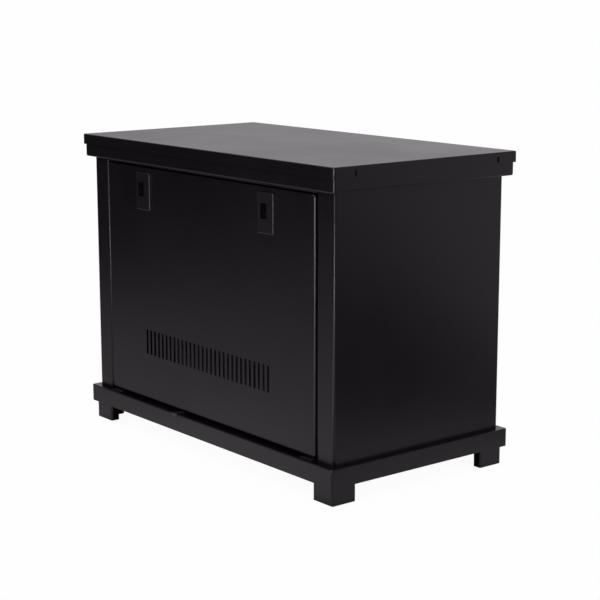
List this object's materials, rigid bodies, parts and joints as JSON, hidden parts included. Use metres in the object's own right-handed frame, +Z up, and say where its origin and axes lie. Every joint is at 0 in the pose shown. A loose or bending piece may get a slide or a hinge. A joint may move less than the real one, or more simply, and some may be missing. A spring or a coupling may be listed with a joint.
{
  "type": "battery box",
  "caption": "Floor-standing black sheet-steel battery cabinet with a tilting vented front panel, slide latches and an overlapping cover, holding batteries in series.",
  "frame": {"origin": "on the floor, under the middle of the cabinet", "axes": "+X to the right when facing the front, -Y is the front, +Z up"},
  "size_m": [0.644, 0.3524, 0.48],
  "materials": {
    "black_powder_coat": "satin fine-texture powder coat",
    "black_tray_paint": "acid-resistant semi-matt paint",
    "zinc_plated_steel": "bright zinc plating",
    "black_steel_screws": "black oxide",
    "latch_plastic": "fine-textured moulding",
    "latch_slide_plastic": "satin moulding",
    "seal_rubber": "matt",
    "spacer_foam_board": "closed-cell board",
    "battery_case_plastic": "moulded, fine grain",
    "battery_lid_plastic": "moulded, satin",
    "plate_pack": "dull grey plates and separators",
    "terminal_brass": "tinned brass, worn",
    "link_copper": "bare copper bar",
    "link_sleeve_plastic": "flexible sleeve",
    "stainless_bolts": "machined",
    "cable_red": "flexible cable jacket",
    "cable_black": "flexible cable jacket",
    "tinned_copper": "tinned",
    "breaker_housing": "fine-textured moulding",
    "breaker_toggle": "satin"
  },
  "bodies": {
    "cabinet": {"battery_1_case": "battery_case_plastic", "battery_1_lid": "battery_lid_plastic", "battery_2_case": "battery_case_plastic", "battery_2_lid": "battery_lid_plastic", "battery_3_case": "battery_case_plastic", "battery_3_lid": "battery_lid_plastic", "battery_4_case": "battery_case_plastic", "battery_4_lid": "battery_lid_plastic", "battery_cells": "plate_pack", "battery_links": "link_copper", "battery_mat": "seal_rubber", "battery_spacers": "spacer_foam_board", "battery_terminal_posts": "terminal_brass", "battery_tray": "black_tray_paint", "bond_tab": "zinc_plated_steel", "breaker_body": "breaker_housing", "breaker_clamp_screws": "zinc_plated_steel", "cable_grommets": "seal_rubber", "cable_lugs": "tinned_copper", "cover_lock_screws": "black_steel_screws", "cover_rivet_nuts": "zinc_plated_steel", "din_rail": "zinc_plated_steel", "earth_nuts": "zinc_plated_steel", "earth_stud": "zinc_plated_steel", "foot_front_left": "black_powder_coat", "foot_front_right": "black_powder_coat", "foot_rear_left": "black_powder_coat", "foot_rear_right": "black_powder_coat", "front_sill": "black_powder_coat", "front_top_rail": "black_powder_coat", "hinge_bracket_left": "zinc_plated_steel", "hinge_bracket_right": "zinc_plated_steel", "hinge_pins": "zinc_plated_steel", "hold_down_bar": "black_tray_paint", "hold_down_nuts": "zinc_plated_steel", "hold_down_rods": "zinc_plated_steel", "link_sleeves": "link_sleeve_plastic", "negative_cable": "cable_black", "panel_seal": "seal_rubber", "plinth_pan": "black_powder_coat", "positive_cable": "cable_red", "rear_panel": "black_powder_coat", "rear_panel_screws": "black_steel_screws", "side_panel_left": "black_powder_coat", "side_panel_right": "black_powder_coat", "terminal_bolts": "stainless_bolts", "top_cover": "black_powder_coat", "top_ring": "black_powder_coat"},
    "front_panel": {"front_panel": "black_powder_coat", "hinge_clip_left": "zinc_plated_steel", "hinge_clip_right": "zinc_plated_steel", "latch_left_body": "latch_plastic", "latch_right_body": "latch_plastic", "latch_left_back_plate": "latch_plastic", "latch_right_back_plate": "latch_plastic", "latch_screws": "zinc_plated_steel"},
    "latch_left": {"latch_left_slide": "latch_slide_plastic"},
    "latch_right": {"latch_right_slide": "latch_slide_plastic"},
    "breaker_toggle": {"breaker_lever": "breaker_toggle"}
  },
  "joints": [
    {"name": "front_panel_tilt", "type": "hinge", "parent": "cabinet", "child": "front_panel", "pos_m": [0, -0.156, 0.066], "axis": [1, 0, 0], "range_deg": [0, 85]},
    {"name": "latch_left_slide", "type": "slide", "parent": "front_panel", "child": "latch_left", "axis": [0, 0, 1], "range_m": [0, 0.008]},
    {"name": "latch_right_slide", "type": "slide", "parent": "front_panel", "child": "latch_right", "axis": [0, 0, 1], "range_m": [0, 0.008]},
    {"name": "breaker_lever_turn", "type": "hinge", "parent": "cabinet", "child": "breaker_toggle", "pos_m": [0.19, 0.09375, 0.372], "axis": [1, 0, 0], "range_deg": [0, 50]}
  ]
}
